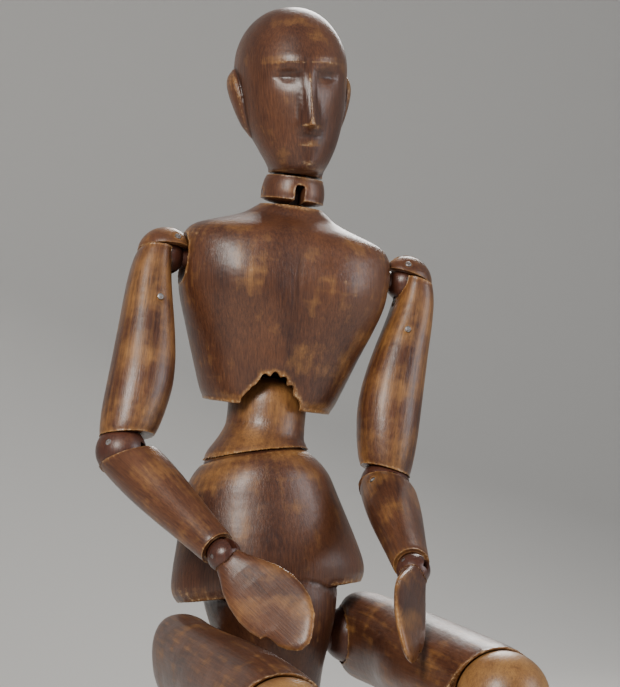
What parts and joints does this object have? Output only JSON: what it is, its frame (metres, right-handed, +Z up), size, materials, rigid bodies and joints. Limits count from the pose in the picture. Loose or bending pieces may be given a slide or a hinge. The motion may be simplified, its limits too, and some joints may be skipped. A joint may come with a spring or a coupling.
{
  "type": "artist mannequin",
  "caption": "Jointed wooden artist lay figure posed seated, with ball and tongue joints from the neck to the ankles and iron pins",
  "frame": {"origin": "centre of the flat sawn seat under the pelvis, on the body midline", "axes": "+X to the figure left, +Y to its back, +Z up through the seated trunk; the knees point along -Y"},
  "size_m": [0.2491, 0.3994, 0.7055],
  "materials": {
    "body_wood": "dark red-brown stain under worn varnish",
    "carved_wood": "dark stained carved hardwood with worn edges",
    "ball_wood": "polished dark turned hardwood",
    "worn_ball_wood": "turned hardwood worn to a honey colour",
    "tongue_wood": "stained hardwood rubbed matt",
    "iron": "dull grey iron, lightly rusted"
  },
  "bodies": {
    "pelvis": {"pelvis": "body_wood"},
    "lower_waist_ball": {"waist_lower_ball": "ball_wood", "waist_lower_pin": "iron"},
    "waist": {"waist": "body_wood"},
    "upper_waist_ball": {"waist_upper_ball": "ball_wood", "waist_upper_pin": "iron"},
    "chest": {"chest": "body_wood"},
    "neck_tongue": {"neck_tongue": "tongue_wood"},
    "neck": {"neck": "carved_wood", "neck_pin": "iron"},
    "head": {"head": "carved_wood", "head_nail": "iron"},
    "right_shoulder_ball": {"right_shoulder_ball": "ball_wood", "right_shoulder_pin": "iron"},
    "right_upper_arm": {"right_shoulder_tongue": "tongue_wood", "right_upper_arm": "body_wood", "right_shoulder_cap": "body_wood", "right_arm_nails": "iron"},
    "right_elbow_ball": {"right_elbow_ball": "ball_wood", "right_elbow_pin": "iron"},
    "right_elbow_tongue": {"right_elbow_tongue": "tongue_wood"},
    "right_forearm": {"right_forearm": "body_wood", "right_forearm_nail": "iron"},
    "right_wrist_ball": {"right_wrist_ball": "ball_wood", "right_wrist_pin": "iron"},
    "right_hand": {"right_hand": "carved_wood"},
    "right_hip_ball": {"right_hip_ball": "ball_wood", "right_hip_pin": "iron"},
    "right_thigh": {"right_thigh": "body_wood"},
    "right_knee_ball": {"right_knee_ball": "worn_ball_wood", "right_knee_pin": "iron"},
    "right_shin": {"right_shin": "body_wood"},
    "right_foot": {"right_ankle_ball": "ball_wood", "right_ankle_pin": "iron", "right_foot": "carved_wood"},
    "left_shoulder_ball": {"left_shoulder_ball": "ball_wood", "left_shoulder_pin": "iron"},
    "left_upper_arm": {"left_shoulder_tongue": "tongue_wood", "left_upper_arm": "body_wood", "left_shoulder_cap": "body_wood", "left_arm_nails": "iron"},
    "left_elbow_ball": {"left_elbow_ball": "ball_wood", "left_elbow_pin": "iron"},
    "left_elbow_tongue": {"left_elbow_tongue": "tongue_wood"},
    "left_forearm": {"left_forearm": "body_wood", "left_forearm_nail": "iron"},
    "left_wrist_ball": {"left_wrist_ball": "ball_wood", "left_wrist_pin": "iron"},
    "left_hand": {"left_hand": "carved_wood"},
    "left_hip_ball": {"left_hip_ball": "ball_wood", "left_hip_pin": "iron"},
    "left_thigh": {"left_thigh": "body_wood"},
    "left_knee_ball": {"left_knee_ball": "worn_ball_wood", "left_knee_pin": "iron"},
    "left_shin": {"left_shin": "body_wood"},
    "left_foot": {"left_ankle_ball": "ball_wood", "left_ankle_pin": "iron", "left_foot": "carved_wood"}
  },
  "joints": [
    {"name": "waist_turn", "type": "hinge", "parent": "pelvis", "child": "lower_waist_ball", "pos_m": [-0.00795, 0.01155, 0.13803], "axis": [-0.078, 0.1132, 0.9905], "range_deg": [-3.4, 0.6]},
    {"name": "waist_tilt", "type": "hinge", "parent": "lower_waist_ball", "child": "waist", "pos_m": [-0.00795, 0.01155, 0.13803], "axis": [0.0957, 0.9898, -0.1056], "range_deg": [-2.1, 1.1]},
    {"name": "chest_bend", "type": "hinge", "parent": "waist", "child": "upper_waist_ball", "pos_m": [0.00425, 0.01962, 0.22481], "axis": [0.9857, -0.109, -0.1285], "range_deg": [-5, 0.5]},
    {"name": "chest_turn", "type": "hinge", "parent": "upper_waist_ball", "child": "chest", "pos_m": [0.00425, 0.01962, 0.22481], "axis": [0.126, -0.0295, 0.9916], "range_deg": [-20, 0.5]},
    {"name": "neck_turn", "type": "hinge", "parent": "chest", "child": "neck_tongue", "pos_m": [0.01969, 0.01805, 0.34432], "axis": [0.126, -0.0295, 0.9916], "range_deg": [-60, 60]},
    {"name": "neck_nod", "type": "hinge", "parent": "neck_tongue", "child": "neck", "pos_m": [0.01969, 0.01805, 0.34432], "axis": [0.9836, -0.1264, -0.1287], "range_deg": [-1.5, 1.5]},
    {"name": "head_turn", "type": "hinge", "parent": "neck", "child": "head", "pos_m": [0.02133, 0.01766, 0.35721], "axis": [0.126, -0.0295, 0.9916], "range_deg": [-60, 60]},
    {"name": "right_shoulder_swing", "type": "hinge", "parent": "chest", "child": "right_shoulder_ball", "pos_m": [-0.06944, 0.0282, 0.30199], "axis": [-0.9836, 0.1264, 0.1287], "range_deg": [-0.9, 150]},
    {"name": "right_shoulder_raise", "type": "hinge", "parent": "right_shoulder_ball", "child": "right_upper_arm", "pos_m": [-0.06944, 0.0282, 0.30199], "axis": [0.0811, 0.9471, -0.3104], "range_deg": [-2.5, 1.8]},
    {"name": "right_arm_twist", "type": "hinge", "parent": "right_upper_arm", "child": "right_elbow_ball", "pos_m": [-0.11332, -0.01111, 0.1706], "axis": [-0.3048, -0.273, -0.9125], "range_deg": [-39, 60]},
    {"name": "right_elbow_bend", "type": "hinge", "parent": "right_elbow_ball", "child": "right_elbow_tongue", "pos_m": [-0.11332, -0.01111, 0.1706], "axis": [-0.7009, -0.5844, 0.4089], "range_deg": [-1.1, 8]},
    {"name": "right_forearm_twist", "type": "hinge", "parent": "right_elbow_tongue", "child": "right_forearm", "pos_m": [-0.11332, -0.01111, 0.1706], "axis": [0.3371, -0.7766, -0.5321], "range_deg": [-15, 15]},
    {"name": "right_wrist_bend", "type": "hinge", "parent": "right_forearm", "child": "right_wrist_ball", "pos_m": [-0.07354, -0.10276, 0.1078], "axis": [-0.9177, -0.3972, -0.0018], "range_deg": [-3.9, 35]},
    {"name": "right_hand_twist", "type": "hinge", "parent": "right_wrist_ball", "child": "right_hand", "pos_m": [-0.07354, -0.10276, 0.1078], "axis": [0.3175, -0.7311, -0.6039], "range_deg": [-90, 90]},
    {"name": "right_hip_swing", "type": "hinge", "parent": "pelvis", "child": "right_hip_ball", "pos_m": [-0.05583, 0, 0.03261], "axis": [-0.9969, 0, -0.0785], "range_deg": [-88, 1.6]},
    {"name": "right_hip_spread", "type": "hinge", "parent": "right_hip_ball", "child": "right_thigh", "pos_m": [-0.05583, 0, 0.03261], "axis": [0.0783, 0.0698, -0.9945], "range_deg": [-2.5, 30]},
    {"name": "right_leg_twist", "type": "hinge", "parent": "right_thigh", "child": "right_knee_ball", "pos_m": [-0.07547, -0.21647, 0.01588], "axis": [-0.0901, -0.993, -0.0767], "range_deg": [-15, 15]},
    {"name": "right_knee_bend", "type": "hinge", "parent": "right_knee_ball", "child": "right_shin", "pos_m": [-0.07547, -0.21647, 0.01588], "axis": [0.9956, -0.0918, 0.0193], "range_deg": [-84, 4]},
    {"name": "right_ankle_bend", "type": "hinge", "parent": "right_shin", "child": "right_foot", "pos_m": [-0.0715, -0.21542, -0.18408], "axis": [-0.9956, 0.0918, -0.0193], "range_deg": [-20, 20]},
    {"name": "left_shoulder_swing", "type": "hinge", "parent": "chest", "child": "left_shoulder_ball", "pos_m": [0.09877, 0.00653, 0.28401], "axis": [-0.9836, 0.1264, 0.1287], "range_deg": [-0.4, 150]},
    {"name": "left_shoulder_raise", "type": "hinge", "parent": "left_shoulder_ball", "child": "left_upper_arm", "pos_m": [0.09877, 0.00653, 0.28401], "axis": [-0.0961, -0.971, 0.2187], "range_deg": [-1, 0.4]},
    {"name": "left_arm_twist", "type": "hinge", "parent": "left_upper_arm", "child": "left_elbow_ball", "pos_m": [0.07186, -0.02201, 0.14546], "axis": [0.1869, 0.1982, 0.9622], "range_deg": [-17, 0.8]},
    {"name": "left_elbow_bend", "type": "hinge", "parent": "left_elbow_ball", "child": "left_elbow_tongue", "pos_m": [0.07186, -0.02201, 0.14546], "axis": [-0.9748, 0.1587, 0.1566], "range_deg": [-0.7, 5]},
    {"name": "left_forearm_twist", "type": "hinge", "parent": "left_elbow_tongue", "child": "left_forearm", "pos_m": [0.07186, -0.02201, 0.14546], "axis": [0.2109, 0.8842, 0.4167], "range_deg": [-6.5, 11]},
    {"name": "left_wrist_bend", "type": "hinge", "parent": "left_forearm", "child": "left_wrist_ball", "pos_m": [0.04697, -0.12635, 0.09628], "axis": [-0.735, -0.1376, 0.664], "range_deg": [-30, 35]},
    {"name": "left_hand_twist", "type": "hinge", "parent": "left_wrist_ball", "child": "left_hand", "pos_m": [0.04697, -0.12635, 0.09628], "axis": [0.3606, 0.75, 0.5546], "range_deg": [-90, 90]},
    {"name": "left_hip_swing", "type": "hinge", "parent": "pelvis", "child": "left_hip_ball", "pos_m": [0.05583, 0, 0.04139], "axis": [-0.9969, 0, -0.0785], "range_deg": [-88, 0.6]},
    {"name": "left_hip_spread", "type": "hinge", "parent": "left_hip_ball", "child": "left_thigh", "pos_m": [0.05583, 0, 0.04139], "axis": [-0.0782, -0.0785, 0.9938], "range_deg": [-0.8, 30]},
    {"name": "left_leg_twist", "type": "hinge", "parent": "left_thigh", "child": "left_knee_ball", "pos_m": [0.06665, -0.21712, 0.0251], "axis": [-0.0496, 0.996, 0.0747], "range_deg": [-15, 15]},
    {"name": "left_knee_bend", "type": "hinge", "parent": "left_knee_ball", "child": "left_shin", "pos_m": [0.06665, -0.21712, 0.0251], "axis": [0.9984, 0.0475, 0.0297], "range_deg": [-84, 4]},
    {"name": "left_ankle_bend", "type": "hinge", "parent": "left_shin", "child": "left_foot", "pos_m": [0.07261, -0.21758, -0.17481], "axis": [-0.9984, -0.0475, -0.0297], "range_deg": [-20, 20]}
  ]
}
